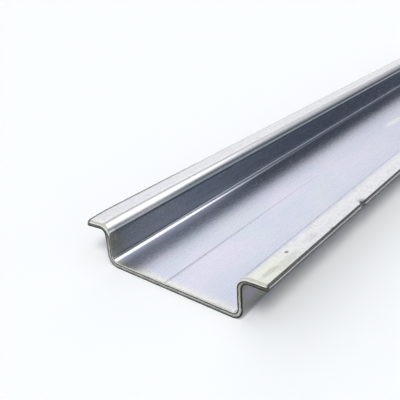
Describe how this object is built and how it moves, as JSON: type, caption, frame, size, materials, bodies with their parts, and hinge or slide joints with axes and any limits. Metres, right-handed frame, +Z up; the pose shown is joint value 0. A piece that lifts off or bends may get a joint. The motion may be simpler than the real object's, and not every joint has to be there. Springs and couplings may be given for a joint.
{
  "type": "din rail",
  "caption": "Straight unperforated top-hat mounting rail, roll-formed from zinc-plated steel strip, open channel face up.",
  "frame": {"origin": "middle of the underside of the base, half way along the piece", "axes": "+X along the rail, +Y across it, +Z up out of the open side of the channel"},
  "size_m": [0.2, 0.035, 0.0075],
  "materials": {
    "zinc_plated_steel": "bright blue-white zinc plating, smooth as rolled, faint lengthwise roll lines, cut ends bare"
  },
  "bodies": {
    "root": {"rail": "zinc_plated_steel"}
  },
  "joints": []
}
